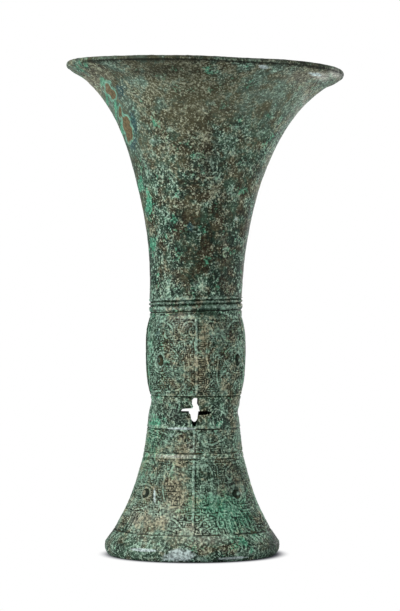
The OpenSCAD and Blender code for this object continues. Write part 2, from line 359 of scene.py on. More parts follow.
def foot_relief(points):
    """Relief in mm of the foot's outside at points in mm, and how far each lies from an eye."""
    height = points[:, 2]
    angle = from_nose(points, FOOT_TURN)
    drift, rise = strayed(points)
    across = angle * FOOT_MASK_R + drift
    up = height - EDGE_TOP + rise
    mask = register_relief(across, up, FOOT_STROKES, FOOT_SPIRAL_W, FOOT_SPIRAL_TURNS)
    mask, reach = with_eye(mask, across, up, FOOT_EYE, FOOT_EYE_SIZE, EYE_RISE)
    across = angle * DRAGON_R + drift
    up = height - BAND_TOP + rise
    dragons = register_relief(across, up, DRAGON_STROKES, DRAGON_SPIRAL_W, SPIRAL_TURNS)
    dragons = with_eye(dragons, across, up, DRAGON_EYE, DRAGON_EYE_SIZE, DRAGON_EYE_RISE)[0]
    in_mask = in_register(EDGE_TOP, MASK_TOP, height)
    in_dragons = in_register(BAND_TOP, DRAGON_TOP, height)
    relief = (mask * in_mask + dragons * in_dragons) * np.where(reach < EYE_END, 1, worn(points))
    relief = with_seam(relief, points, FOOT_SEAM_X, np.maximum(in_mask, in_dragons))
    off_nose = angle * foot_radius(height)
    relief = with_nose(relief, off_nose, height, EDGE_TOP, MASK_TOP, FOOT_NOSE_RISE, in_mask)
    # The grooves waver with the drawing and are broken by wear
    broken = np.clip(0.75 + 0.6 * rough(points + 40, 11.0, 2), 0.15, 1)
    for level in (EDGE_TOP, MASK_TOP, BAND_TOP, DRAGON_TOP):
        relief -= GROOVE_DEEP * broken * groove(height - level - 0.3 * drift)
    # The plain band's lower edge stands a little proud of the dragons
    relief += BAND_EDGE_RISE * smooth_step(0.7, 0.1, abs(height - DRAGON_TOP - 1.0))
    return relief * smooth_step(RIM_H, RIM_H + 2, height), reach


# Corrosion left swells, blisters of crust and pits, of these heights and depths
SWELL_RISE = 0.12
CRUST_RISE = 0.09
PIT_DEEP = 0.12


def corrosion_relief(points):
    """Height in mm of the corrosion at points in mm, on the outside or the inside."""
    swell = SWELL_RISE * rough(points, 17.0, 2)
    crust = CRUST_RISE * smooth_step(-0.05, 0.25, rough(points + 70, 4.2, 3))
    pits = PIT_DEEP * smooth_step(0.38, 0.62, rough(points + 130, 2.3, 2))
    return swell + crust - pits


def pushed(points, outward, distance):
    """Points moved by a distance in mm along (radial, upward) directions."""
    radius = np.hypot(points[:, 0], points[:, 1])
    moved = points.copy()
    moved[:, 0] += points[:, 0] / radius * outward[0] * distance
    moved[:, 1] += points[:, 1] / radius * outward[0] * distance
    moved[:, 2] += outward[1] * distance
    return moved


def outward_of(radius_at, height):
    """Radial and upward parts of the direction that a turned surface faces at a height."""
    step = 0.05
    slope = (radius_at(height + step) - radius_at(height - step)) / (2 * step)
    length = np.hypot(1, slope)
    return 1 / length, -slope / length


# The standing rim bulges a little above its middle and is rounded over below. Each row of its mesh
# has how far it stands out past FOOT_R, and its height
RIM_ROWS = (
    (0.0, RIM_H), (0.05, 6.6), (0.2, 5.4), (0.15, 4.3), (-0.1, 3.2), (-0.55, 2.2), (-1.15, 1.2),
    (-1.8, 0.45), (-2.4, 0.0),
)

# The rows of the mesh lie closest together where the pattern is
foot_levels = np.concatenate([
    levels(FOOT_TOP, DRAGON_TOP + 1.8, 0.8),
    levels(DRAGON_TOP + 1.8, BAND_TOP, 0.42),
    levels(BAND_TOP, MASK_TOP, 0.4),
    levels(MASK_TOP, EDGE_TOP - 0.6, 0.48),
    levels(EDGE_TOP - 0.6, RIM_H, 0.7),
])
foot_inner = []
for level in levels(TAPER_TOP, RIM_H, 3.6):
    radial, upward = outward_of(foot_radius, level)
    inner_r = foot_radius(level) - WALL * radial
    if inner_r < FOOT_R - RIM_T:
        foot_inner.append((inner_r, level - WALL * upward))
foot_outline = (
    [(CROSS_R - WALL, FLOOR_Z), (FOOT_LAP_R - LAP_FIT, FLOOR_Z), (FOOT_LAP_R - LAP_FIT, FOOT_TOP)]
    + [(foot_radius(level), level) for level in foot_levels]
    + [(FOOT_R + outset, level) for outset, level in RIM_ROWS]
    + [(FOOT_R - RIM_T, 0)]
    + foot_inner[::-1]
)
foot = turned("foot_cast", foot_outline, FOOT_STEPS)

# A knock in the plain band at the right: its height, half its width and height, and its depth
KNOCK_Z = 81.8
KNOCK_HALF_W = 3.5
KNOCK_HALF_H = 1.9
KNOCK_DEEP = 1.5
# How far the plain band spreads at its top edge, to meet the waist
EDGE_SPREAD = 0.6

at = points_of(foot.data)
height = at[:, 2].copy()
outside = np.hypot(at[:, 0], at[:, 1]) > foot_radius(height) - WALL / 2
outside &= (height < FOOT_TOP + TINY) & (height > TINY)
skin = at[outside]
relief, reach = foot_relief(skin)
shade = np.zeros(len(at))
shade[outside] = shade_of(relief, reach, heart=0.9)
write_values(foot, "relief", shade)
spread_edge = EDGE_SPREAD * smooth_step(FOOT_TOP - 2.6, FOOT_TOP - 0.8, skin[:, 2])
push = relief + corrosion_relief(skin) + spread_edge
push *= smooth_step(FOOT_TOP, FOOT_TOP - 0.5, skin[:, 2])
at[outside] = pushed(skin, outward_of(foot_radius, skin[:, 2]), push)
knock = np.exp(-(((at[:, 2] - KNOCK_Z) / KNOCK_HALF_H) ** 2) - (at[:, 1] / KNOCK_HALF_W) ** 2)
at[:, 0] -= KNOCK_DEEP * knock * (at[:, 0] > 0) * outside
set_points(foot.data, at)


# Outlines of the cross-shaped holes, as (x, z) in mm, anticlockwise from the slot's foot.
# The tenons were cut by hand, so no two of them match.
FRONT_CROSS = [
    (-0.7, 75.0), (0.2, 74.2), (1.2, 74.6), (1.8, 76.5), (2.2, 78.5), (2.3, 80.6), (5.5, 80.8),
    (9.0, 81.2), (9.9, 82.0), (9.2, 82.8), (6.0, 83.1), (3.2, 82.9), (2.5, 84.4), (2.2, 86.0),
    (1.8, 87.6), (1.6, 89.2), (0.8, 90.3), (-0.9, 90.4), (-1.9, 89.4), (-1.9, 87.2), (-1.0, 85.6),
    (-1.2, 84.6), (-5.0, 84.4), (-6.9, 84.1), (-7.4, 83.0), (-6.8, 82.0), (-3.0, 82.1), (-1.7, 80.9),
    (-1.4, 79.0), (-1.1, 77.0),
]
BACK_CROSS = [
    (-1.0, 75.2), (0.2, 74.4), (1.3, 74.8), (2.2, 76.5), (2.6, 80.6), (5.2, 81.0), (8.2, 81.0),
    (8.8, 82.0), (8.0, 83.0), (4.6, 83.0), (2.4, 83.6), (1.2, 85.2), (0.9, 88.6), (0.3, 90.0),
    (-1.2, 90.4), (-2.2, 88.8), (-2.0, 84.6), (-3.2, 82.9), (-7.2, 83.0), (-8.4, 82.0), (-7.6, 80.8),
    (-3.0, 80.7), (-2.4, 78.5), (-1.8, 76.8),
]


def cross_cutter(outline, facing):
    """A bar with a cross for its outline, from the vessel's middle out through one wall."""
    bar = bmesh.new()
    bar.faces.new([bar.verts.new((x, 0, z)) for x, z in outline])
    grown = bmesh.ops.extrude_face_region(bar, geom=list(bar.faces))
    end = [part for part in grown["geom"] if isinstance(part, bmesh.types.BMVert)]
    bmesh.ops.translate(bar, verts=end, vec=(0, facing * 2 * CROSS_R, 0))
    bmesh.ops.recalc_face_normals(bar, faces=bar.faces)
    mesh = bpy.data.meshes.new("cross_cutter")
    bar.to_mesh(mesh)
    bar.free()
    return bpy.data.objects.new("cross_cutter", mesh)


def cut(piece, cutter, operation="DIFFERENCE"):
    """Takes the cutter's shape out of a piece for good, or keeps only what lies inside it."""
    bpy.context.scene.collection.objects.link(cutter)
    hole = piece.modifiers.new("hole", "BOOLEAN")
    hole.operation = operation
    hole.solver = "MANIFOLD"
    hole.object = cutter
    shaped = piece.evaluated_get(bpy.context.evaluated_depsgraph_get())
    mesh = bpy.data.meshes.new_from_object(shaped)
    piece.modifiers.remove(hole)
    piece.data = mesh
    bpy.data.objects.remove(cutter)


cut(foot, cross_cutter(FRONT_CROSS, -1))
cut(foot, cross_cutter(BACK_CROSS, 1))

# The foot's patina
# Leaded tin bronze that has lain in damp earth: a thin grey-green and olive patina, crusts of
# mint and bright green malachite, a little blue azurite, bare brown metal and trapped earth.
# Patches also paint a sheen, glints and some shade into its colour.


def linear(hex_colour):
    """An sRGB hex colour as the linear values that a shader takes."""
    parts = [int(hex_colour[i:i + 2], 16) / 255 for i in (1, 3, 5)]
    return [p / 12.92 if p <= 0.04045 else ((p + 0.055) / 1.055) ** 2.4 for p in parts] + [1]


def node(tree, kind, sockets=(), out=None, **settings):
    """Adds a node, gives its sockets values, hex colours or links, and returns the output asked for."""
    made = tree.nodes.new("ShaderNode" + kind)
    for setting, value in settings.items():
        setattr(made, setting, value)
    for socket, value in dict(sockets).items():
        if isinstance(value, bpy.types.NodeSocket):
            tree.links.new(value, made.inputs[socket])
        else:
            made.inputs[socket].default_value = linear(value) if isinstance(value, str) else value
    if out:
        return made.outputs[out]
    return next((output for output in made.outputs if output.enabled), None)


# Patches of each kind on the front: x, z, half width and half height in mm, and strength
PATCHES = {
    # Bare brown metal, in spots down the left of the flare
    "brown": [
        (-48, 265.2, 2, 3, 0.7), (-45.2, 260.6, 2, 3, 0.7), (-41.4, 252.4, 1.4, 3.6, 0.6),
        (-38.4, 245.6, 2.2, 3.8, 0.7), (-36.4, 239.4, 2.6, 4.4, 0.7),
    ],
    # Where the patina turns from grey-green to olive
    "warm": [
        (0, 256, 24, 16, 0.16), (-3, 238, 14, 14, 0.1), (2, 200, 16, 26, 0.08), (30, 208, 9, 26, 0.06),
        (10, 178, 8, 14, 0.08), (22, 42, 8, 9, 0.12), (-28, 20, 14, 6, 0.09), (-20, 274, 34, 7, 0.14),
        (4, 108, 16, 20, 0.05), (15, 7.5, 9, 2.4, 0.2), (-12, 38, 14, 22, 0.12),
        (-36, 238, 5, 20, -0.1), (-60, 270, 12, 6, 0.14), (62, 270, 16, 8, 0.14),
        (-22, 110, 8, 34, -0.14), (18, 30, 22, 22, -0.1),
    ],
    # Thin, even patina that shows little crust
    "smooth": [
        (-8, 258, 48, 14, 0.3), (46, 260, 24, 14, 0.42), (0, 230, 30, 20, 0.1),
        (0, 279.5, 90, 2.4, 0.4), (-30, 230, 10, 12, 0.3), (-26, 270, 30, 9, 0.35),
        (-28, 45, 7, 26, 0.3),
    ],
    # Dark ground
    "dark": [
        (0, 172, 26, 34, 0.05), (0, 205, 16, 20, 0.02), (-6, 79, 12, 5, 0.06), (17, 77, 8, 9, 0.06),
        (8, 222, 8, 14, 0.1), (24, 160, 7, 18, 0.12), (15.8, 7.3, 8, 3.4, 0.08),
    ],
    # Pale crust, and runs of it
    "pale": [
        (-46, 262, 5, 7, -0.3), (-38, 242, 4, 8, -0.3), (0, 250, 34, 12, -0.04),
        (-20, 278, 30, 4, -0.12), (0, 168, 18, 34, -0.13), (-34, 262, 26, 7, 0.08),
        (38, 244, 14, 18, -0.05), (-28, 220, 9, 12, -0.02), (-19, 192, 6, 8, 0.06),
        (28, 195, 14, 34, -0.09), (-11, 90, 6, 5, 0.1), (-19, 180, 6, 26, 0.04), (-10, 164, 6, 12, 0.1),
        (-17.5, 169, 0.6, 3.5, 0.28), (-16, 160, 0.6, 4, 0.28), (-14.6, 152.5, 0.7, 4, 0.35),
        (3, 152, 8, 5, 0.1), (-5, 119, 9, 10, 0.08), (12, 209, 3.5, 8, 0.14), (22.5, 204, 3, 5, 0.14),
        (4.3, 154, 2.5, 6, 0.2), (-14.4, 92.8, 1.2, 1.2, 0.6), (0, 112, 22, 22, -0.04),
        (0, 36, 30, 20, -0.04),
    ],
    # Bright malachite
    "green": [
        (-51.3, 267.8, 1.3, 1.8, 0.6), (-49, 262, 0.9, 5, 0.5), (-44, 253, 0.9, 5, 0.5),
        (-40.8, 243, 0.9, 5, 0.5), (-30.4, 212, 1.8, 4, 0.45), (-25.5, 202, 2, 6, 0.4),
        (-23, 177, 2, 5, 0.35), (-26, 112, 6.5, 30, 0.2), (-24, 70, 5, 12, 0.2), (-28, 45, 5, 12, 0.12),
        (12, 27, 14, 9, 0.6), (26, 20, 8, 7, 0.3), (-20, 66, 6, 9, 0.14), (-65, 276, 9, 3.5, 0.13),
        (14, 74, 10, 4, 0.06),
    ],
    # Azurite and grey-blue edges
    "blue": [
        (-2, 188, 2.2, 5, 0.34), (-20.5, 126.5, 3.5, 8, 0.3), (-40, 262, 4, 6, 0.36),
        (-34, 238, 3, 14, 0.36), (12, 120, 6, 10, 0.12),
    ],
    # Grains of red copper oxide
    "rust": [
        (-21, 180, 5, 26, 0.14), (-28, 225, 8, 8, 0.12), (-10, 45, 12, 16, 0.08),
    ],
    # Earth in the sunk lines, and raised lines rubbed pale
    "earth": [
        (0, 112, 18, 22, 0.1), (0, 143, 40, 4.5, -0.12), (-8, 40, 20, 26, 0.08),
    ],
    # Tan dust where the strength is above 0, and dark wax or dirt where it is below. Some patches are
    # painted light: a painted sheen up the right of the mouth, and painted shade low on the rim and the
    # foot's right edge
    "film_and_painted_light": [
        (0, 257, 22, 13, -0.12), (62, 264, 14, 9, 0.15), (80, 273.5, 5, 2, 1.3),
        (72, 270.5, 6, 1.6, 1.0), (63, 256, 3, 6, 0.4), (59, 251.5, 2.5, 4, 0.4),
        (-67, 269, 7, 4, 0.35), (-50, 269, 8, 5, 0.2), (56, 269, 12, 4, 0.2), (-16, 276, 34, 4, -0.2),
        (-20, 270, 18, 3, -0.35), (0, 269.5, 6, 3, -0.2), (8, 251, 22, 5, 0.2), (37, 277, 18, 3, 0.4),
        (8, 224, 5, 9, -0.35), (17, 206, 6, 7, -0.25), (29, 190, 4, 8, -0.25), (17, 179, 4, 6, 0.25),
        (36, 220, 6, 11, -0.2), (-28, 219, 5, 10, -0.2), (18, 143, 8, 4.5, -0.3),
        (18, 160, 8, 14, -0.15), (22, 42, 9, 9, -0.45), (27, 71, 5, 8, -0.25), (28, 156, 4, 14, -0.1),
        (45, 5, 7, 8, -0.2), (34, 26, 8, 12, -0.25), (-24, 26, 20, 11, 0.28), (-28, 112, 5, 24, -0.12),
        (-14, 84, 14, 7, -0.2), (-8, 80, 6, 4, -0.35), (3, 18, 14, 9, 0.45), (-42, 8, 10, 4, -0.3),
        (15.8, 7.3, 7, 3, -0.2), (-34, 22, 6, 7, 0.25), (0, 172, 18, 34, -0.1), (-12, 38, 14, 24, 0.18),
        (-30, 10, 16, 7, 0.15), (34, 3, 14, 4, -0.2), (46, 14, 7, 12, -0.45), (16, 12, 9, 4, 0.2),
        (-6, 120, 9, 9, 0.15), (20, 126, 9, 8, -0.3), (14, 116, 9, 5, 0.15), (-4, 116, 8, 6, 0.25),
        (8, 98, 6, 5, 0.25), (-17, 72, 7, 5, 0.25), (-6, 133.5, 9, 5, 0.6), (-12, 57.5, 14, 1.2, 0.6),
        (-1, 63, 5, 5, 0.4), (-20, 64, 8, 7, -0.25),
    ],
    # Ashy scale, and painted glints: thin highlight lines on the lip, the band's edge and the rim
    "ash_and_glint": [
        (38.3, 272.4, 3.2, 1.0, 0.62), (68.3, 271, 5, 0.7, 0.62), (-7, 73.2, 6, 0.5, 1.2),
        (-28, 6.6, 5.5, 0.5, 1.5), (21.5, 2.2, 7, 0.4, 1.4), (-8, 4, 8.5, 3.6, 0.75),
        (-21.9, 34.8, 0.6, 4, 0.8),
    ],
}
# A patch wider than this to each side comes again at the back
BROAD_PATCH = 5.0


def nearness(points, x, z, half_width, half_height):
    """How near each point lies to a patch that is seen at (x, z) from the front: 1 at its middle."""
    radius = np.hypot(points[:, 0], points[:, 1])
    depth = points[:, 1] + np.sqrt(np.maximum(radius**2 - x**2, 0))
    reach = ((points[:, 0] - x) / half_width) ** 2 + ((points[:, 2] - z) / half_height) ** 2
    return np.exp(-reach - (depth / (2 * half_width + 6)) ** 2)


def lay_patches(piece):
    """Writes on a piece how much each kind of patch is favoured at each of its points."""
    points = points_of(piece.data)
    behind = points * (-1, -1, 1)
    # The patches lie on the outside alone
    radius = np.maximum(np.hypot(points[:, 0], points[:, 1]), TINY)
    outward = (points * points_of(piece.data, "normal"))[:, :2].sum(1) / radius
    outside = smooth_step(-0.4, 0.1, outward)
    for kind, patches in PATCHES.items():
        favour = np.zeros(len(points))
        for x, z, half_width, half_height, strength in patches:
            favour += strength * nearness(points, x, z, half_width, half_height)
            if half_width > BROAD_PATCH:
                favour += strength * nearness(behind, x, z, half_width, half_height)
        write_values(piece, kind, favour * outside)


# Sizes in mm of what the patina's noise draws: broad changes of hue, clouds of dark ground,
# blooms of crust, meshes of pale lace, the wander of their edges, mottling and grains
HUE_SIZE = 10.0
CLOUD_SIZE = 9.0
BLOOM_SIZE = 6.5
LACE_SIZE = 2.4
WANDER_SIZE = 2.6
MOTTLE_SIZE = 1.5
# The real grains are finer still, and are drawn as coarse as they need to show
GRAIN_SIZE = 0.8
# How far the edges wander, how high crust and mottling stand, and a shift in mm by which one
# noise is read elsewhere than another
WANDER = 3.0
CRUST_BUMP = 0.2
FAR_OFF = (61, 17, 33)
# A mineral crust is dull
SHINE = 0.1

# Colours that all pieces share, in pairs where a tone varies between two
SMOOTH = ("#718070", "#5c5e46")
MALACHITE = ("#1f5c46", "#62b48f")
RAISED_LINE = ("#86a490", "#a29e82")
RUBBED_LINE = ("#94b0a0", "#a9a58e")
SUNK_EARTH = ("#141f14", "#3a331e")
AZURITE = "#26494c"
RED_OXIDE = "#7c6455"
MINT = "#6f9d86"
BROWN_METAL = "#675b40"
# Tan dust, also the colour of a painted sheen
DUST_AND_SHEEN = "#a2a598"
# Dark wax and dirt, also the colour of painted shade and of the painted shadow under the lip
DIRT_AND_SHADE = "#14180f"
# Ashy scale, also the colour of painted glints
ASH_AND_GLINT = "#b0c0bc"


def patina(name, deep, ground, crust, pale):
    """Corroded cast bronze, from pairs of cool and warm colours for its tones, dark to light."""
    material = bpy.data.materials.new(name)
    material.use_nodes = True
    tree = material.node_tree
    tree.nodes.clear()
    place = node(tree, "TexCoord", out="Object")
    mm = node(tree, "VectorMath", {0: place, "Scale": 1 / MM}, operation="SCALE")
    stir = node(tree, "TexNoise", {"Vector": mm, "Scale": 1 / WANDER_SIZE, "Detail": 3.0}, out="Color")
    shift = node(tree, "VectorMath", {0: stir, 1: (0.5, 0.5, 0.5)}, operation="SUBTRACT")
    shift = node(tree, "VectorMath", {0: shift, "Scale": WANDER}, operation="SCALE")
    near = node(tree, "VectorMath", {0: mm, 1: shift}, operation="ADD")
    far = node(tree, "VectorMath", {0: near, 1: FAR_OFF}, operation="ADD")
    bloom, cloud, hue, mottle, grain = [
        node(tree, "TexNoise", {"Vector": spot, "Scale": 1 / size, "Detail": detail, "Roughness": rude})
        for spot, size, detail, rude in (
            (near, BLOOM_SIZE, 5.0, 0.6),
            (far, CLOUD_SIZE, 5.0, 0.62),
            (far, HUE_SIZE, 6.0, 0.72),
            (mm, MOTTLE_SIZE, 3.0, 0.6),
            (mm, GRAIN_SIZE, 1.0, 0.5),
        )
    ]
    mesh_edge = node(tree, "TexVoronoi", {"Vector": near, "Scale": 1 / LACE_SIZE}, out="Distance",
                     feature="DISTANCE_TO_EDGE")
    # What is written on each point of the piece
    told = {kind: node(tree, "Attribute", out="Fac", attribute_name=kind)
            for kind in (*PATCHES, "relief", "lip")}

    # A noise, with a share of the mottling and with what its patches add, passes from a start to
    # an end, and its mask rises from 0 to a top
    masks = {}
    for part, value, kind, mottling, start, end, top in (
        ("warm", hue, "warm", 0.2, 0.56, 0.74, 1.0),
        ("dark", cloud, "dark", 0.3, 0.58, 0.72, 1.0),
        ("crust", bloom, "pale", 0.5, 0.76, 0.90, 1.0),
        ("lace", bloom, "pale", 0.4, 0.58, 0.76, 1.0),
        ("malachite", cloud, "green", 0.5, 0.84, 1.0, 0.8),
        ("azurite", bloom, "blue", 0.3, 0.84, 0.95, 0.75),
        ("red oxide", grain, "rust", 0.6, 1.03, 1.12, 0.7),
        ("pale grain", grain, "pale", 0.8, 1.02, 1.08, 0.9),
        ("mint rim", bloom, "brown", 0.2, 0.72, 0.82, 1.0),
        ("bare metal", bloom, "brown", 0.2, 0.92, 0.98, 1.0),
        ("kept line", bloom, "earth", 0.5, 0.60, 0.78, 1.0),
        ("brown earth", cloud, "earth", 0.4, 0.72, 0.84, 1.0),
        ("ash_and_glint", bloom, "ash_and_glint", 0.3, 0.80, 1.05, 0.9),
    ):
        raised = node(tree, "Math", {0: mottle, 1: mottling, 2: value}, operation="MULTIPLY_ADD")
        raised = node(tree, "Math", {0: raised, 1: told[kind]})
        masks[part] = node(tree, "MapRange", {"Value": raised, "From Min": start, "From Max": end,
                                              "To Max": top}, interpolation_type="SMOOTHSTEP")

    # One value passes from a start to an end, and its share goes from low to high
    shares = {}
    for part, value, start, end, low, high in (
        ("crust grain", grain, 0.48, 0.62, 0.0, 0.4),
        ("lace line", mesh_edge, 0.14, 0.04, 0.0, 1.0),
        ("lace grain", grain, 0.36, 0.50, 0.0, 1.0),
        ("brown patch", told["brown"], 0.08, 0.2, 0.0, 1.0),
        ("dust_and_sheen", told["film_and_painted_light"], 0.0, 1.0, 0.0, 1.0),
        ("dirt_and_shade", told["film_and_painted_light"], 0.0, -1.0, 0.0, 1.0),
        ("raised line", told["relief"], -0.6, -0.05, 0.0, 0.62),
        ("sunk line", told["relief"], -0.3, -0.85, 0.0, 0.92),
        ("rubbed line", told["relief"], 0.5, 1.0, 0.0, 0.8),
        ("uneven", bloom, 0.35, 0.55, 0.25, 1.0),
        ("speckle", mottle, 0.35, 0.65, 0.44, 1.52),
        ("painted_light_and_film_scale", told["film_and_painted_light"], -0.8, 0.8, 0.55, 1.45),
        ("roughness", masks["crust"], 0.0, 1.0, 0.5, 0.75),
    ):
        shares[part] = node(tree, "MapRange", {"Value": value, "From Min": start, "From Max": end,
                                               "To Min": low, "To Max": high},
                            interpolation_type="SMOOTHSTEP")

    # The plain surface has a relief of just 0, and the pattern is where it isn't
    plain = node(tree, "Math", {0: told["relief"], 1: 0.0, 2: 0.005}, operation="COMPARE")
    pattern = node(tree, "Math", {0: 1.0, 1: plain}, operation="SUBTRACT")
    # Each of these shows only where all its parts do
    for part, first, *others in (
        ("lace", shares["lace line"], masks["lace"], shares["lace grain"]),
        ("mint rim", masks["mint rim"], shares["brown patch"]),
        ("raised line", shares["raised line"], pattern, masks["kept line"]),
        ("rubbed line", shares["rubbed line"], shares["uneven"]),
    ):
        for other in others:
            first = node(tree, "Math", {0: first, 1: other}, operation="MULTIPLY")
        masks[part] = first

    # Each tone varies between the two colours of a pair
    tones = {}
    for tone, share, (cool, warm) in (
        ("deep", masks["warm"], deep),
        ("ground", masks["warm"], ground),
        ("crust", masks["warm"], crust),
        ("pale", masks["warm"], pale),
        ("smooth", masks["warm"], SMOOTH),
        ("malachite", mottle, MALACHITE),
        ("raised line", masks["warm"], RAISED_LINE),
        ("rubbed line", masks["warm"], RUBBED_LINE),
        ("sunk earth", masks["brown earth"], SUNK_EARTH),
    ):
        tones[tone] = node(tree, "Mix", {0: share, 6: cool, 7: warm}, data_type="RGBA")

    # The colours are laid over each other, from the ground up
    colour = tones["ground"]
    for share, top in (
        (masks["dark"], tones["deep"]),
        # Grains of crust show on the dark ground too
        (shares["crust grain"], tones["crust"]),
        (masks["crust"], tones["crust"]),
        # A pale lace of carbonate, thickest where the crust is
        (masks["lace"], tones["pale"]),
        (told["smooth"], tones["smooth"]),
        (masks["malachite"], tones["malachite"]),
        (masks["azurite"], AZURITE),
        (masks["red oxide"], RED_OXIDE),
        (masks["pale grain"], tones["pale"]),
        # Bare metal shows brown, inside a rim of mint
        (masks["mint rim"], MINT),
        (masks["bare metal"], BROWN_METAL),
        # Thin films of tan dust or of dark wax and dirt, which also lay painted sheen and painted shade,
        # and the painted shadow under the lip's bead
        (shares["dust_and_sheen"], DUST_AND_SHEEN),
        (shares["dirt_and_shade"], DIRT_AND_SHADE),
        (told["lip"], DIRT_AND_SHADE),
        # Earth lies in the pattern's sunk lines, and its raised lines are rubbed pale
        (masks["raised line"], tones["raised line"]),
        (shares["sunk line"], tones["sunk earth"]),
        (masks["rubbed line"], tones["rubbed line"]),
        # Ashy scale, and painted glints on edges
        (masks["ash_and_glint"], ASH_AND_GLINT),
    ):
        colour = node(tree, "Mix", {0: share, 6: colour, 7: top}, data_type="RGBA")

    # Grain of the corroded metal, weaker on the smooth patina
    speckle = node(tree, "Mix", {0: told["smooth"], 2: shares["speckle"], 3: 1.0})
    # Dust and painted sheen lighten the colour, and dirt and painted shade darken it
    speckle = node(tree, "Math", {0: speckle, 1: shares["painted_light_and_film_scale"]}, operation="MULTIPLY")
    colour = node(tree, "VectorMath", {0: colour, "Scale": speckle}, operation="SCALE")
    height = node(tree, "Math", {0: mottle, 1: 0.8, 2: masks["crust"]}, operation="MULTIPLY_ADD")
    height = node(tree, "Math", {0: height, 1: masks["lace"]})
    bump = node(tree, "Bump", {"Strength": 0.6, "Distance": CRUST_BUMP * MM, "Height": height})
    shader = node(tree, "BsdfPrincipled", {"Base Color": colour, "Roughness": shares["roughness"],
                                           "Normal": bump, "Metallic": 0.0, "Specular IOR Level": SHINE})
    node(tree, "OutputMaterial", {"Surface": shader})
    return material


# Matte grey-green and olive, with grains, lace and blooms of pale mint over a dark ground
outer_patina = patina(
    "green_patina_on_cast_bronze",
    deep=("#15261c", "#2e2718"),
    ground=("#3a5240", "#4d4b36"),
    crust=("#5a7e69", "#6e715a"),
    pale=("#99b5a1", "#9ea38a"),
)

# The old vessel no longer stands quite straight: its parts lie this far to the right, in mm, from
# one height to another, or about a height within a reach
FOOT_BEND = -0.95
FOOT_BEND_TOP = 80.0
BODY_BEND = 1.2
BODY_BEND_FROM = 79.0
BODY_BEND_TO = 90.0
NECK_BEND = -1.0
NECK_BEND_Z = 215.0
NECK_BEND_REACH = 32.0
MOUTH_BEND = 0.5
MOUTH_BEND_FROM = 250.0
MOUTH_BEND_TO = 275.0

# Edges sharper than this are shaded as edges
SHARP_ANGLE = math.radians(60)


def bent(points):
    """Points in mm moved sideways by the bends."""
    height = points[:, 2]
    moved = points.copy()
    moved[:, 0] += FOOT_BEND * np.clip(1 - height / FOOT_BEND_TOP, 0, 1) ** 1.3
    moved[:, 0] += BODY_BEND * smooth_step(BODY_BEND_FROM, BODY_BEND_TO, height)
    moved[:, 0] += NECK_BEND * np.exp(-(((height - NECK_BEND_Z) / NECK_BEND_REACH) ** 2))
    moved[:, 0] += MOUTH_BEND * smooth_step(MOUTH_BEND_FROM, MOUTH_BEND_TO, height)
    return moved


def finish_piece(piece, node_name, material):
    """Brings a piece from mm to metres, with its finish, in place of its CAD node."""
    set_points(piece.data, bent(points_of(piece.data)))
    lay_patches(piece)
    piece.data.materials.clear()
    piece.data.materials.append(material)
    piece.data.transform(Matrix.Scale(MM, 4))
    piece.data.shade_smooth()
    piece.data.set_sharp_from_angle(angle=SHARP_ANGLE)
    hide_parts(node_name)
    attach(piece, "root")


finish_piece(foot, "foot", outer_patina)

# Beaker floor
# The bronze disc that closes the beaker was cast in one pour with the wall: it rests on the
# foot's top edge, and the waist's ledge holds it down. Three chaplets pass through it.
LEDGE_Z = box_in_mm("beaker_floor")[1][2]
FLOOR_T = LEDGE_Z - FLOOR_Z
FLOOR_DISC_R = FOOT_LAP_R - LAP_FIT
FLOOR_STEPS = 176
# Width of a chaplet, and its distance from the axis
CHAPLET_W = 5.0
FLOOR_CHAPLET_R = 12.0

disc_radii = levels(0, FLOOR_DISC_R, 0.7)
floor_disc = turned(
    "beaker_floor_disc",
    [(radius, LEDGE_Z) for radius in disc_radii]
    + [(FLOOR_DISC_R, LEDGE_Z), (FLOOR_DISC_R, FLOOR_Z)]
    + [(radius, FLOOR_Z) for radius in disc_radii[::-1]],
    FLOOR_STEPS,
)
at = points_of(floor_disc.data)
# The edge that is held between the foot and the ledge stays plain
open_face = smooth_step(FLOOR_DISC_R - 0.6, FLOOR_DISC_R - 2.5, np.hypot(at[:, 0], at[:, 1]))
at[:, 2] += corrosion_relief(at) * open_face * np.sign(at[:, 2] - FLOOR_Z - FLOOR_T / 2)
set_points(floor_disc.data, at)


def square_plugs(name, count, first_turn, size, place, edge=0.0):
    """Square plugs in mm, set evenly about the axis, with their edges softened."""
    plugs = bmesh.new()
    for i in range(count):
        cube = bmesh.ops.create_cube(plugs, size=1.0)["verts"]
        bmesh.ops.scale(plugs, verts=cube, vec=size)
        bmesh.ops.translate(plugs, verts=cube, vec=place)
        turn = Matrix.Rotation(math.tau * (i + first_turn) / count, 3, "Z")
        bmesh.ops.rotate(plugs, verts=cube, cent=(0, 0, 0), matrix=turn)
    if edge:
        bmesh.ops.bevel(plugs, geom=plugs.edges[:], offset=edge, segments=3, affect="EDGES",
                        profile=0.5, material=-1)
    mesh = bpy.data.meshes.new(name)
    plugs.to_mesh(mesh)
    plugs.free()
    return bpy.data.objects.new(name, mesh)


floor_middle = (FLOOR_CHAPLET_R, 0, FLOOR_Z + FLOOR_T / 2)
cut(floor_disc, square_plugs("floor_holes", 3, 0, (CHAPLET_W, CHAPLET_W, 2 * FLOOR_T), floor_middle))

# Darker and browner than the outside, since earth stayed on it
inner_patina = patina(
    "dark_patina_with_earth",
    deep=("#161f14", "#2a2315"),
    ground=("#36453a", "#40402c"),
    crust=("#4f6a5a", "#5d6552"),
    pale=("#7d9481", "#85866f"),
)
finish_piece(floor_disc, "beaker_floor", inner_patina)

# Floor chaplets
# Square scraps of bronze that kept the cores of the beaker and the foot apart. The pour has
# locked them into the floor, and they have weathered a little browner than it.
# Rounding of a plug's edges
CHAPLET_EDGE = 0.25

floor_plugs = square_plugs(
    "floor_plugs", 3, 0, (CHAPLET_W, CHAPLET_W, FLOOR_T), floor_middle, CHAPLET_EDGE)
bpy.context.scene.collection.objects.link(floor_plugs)

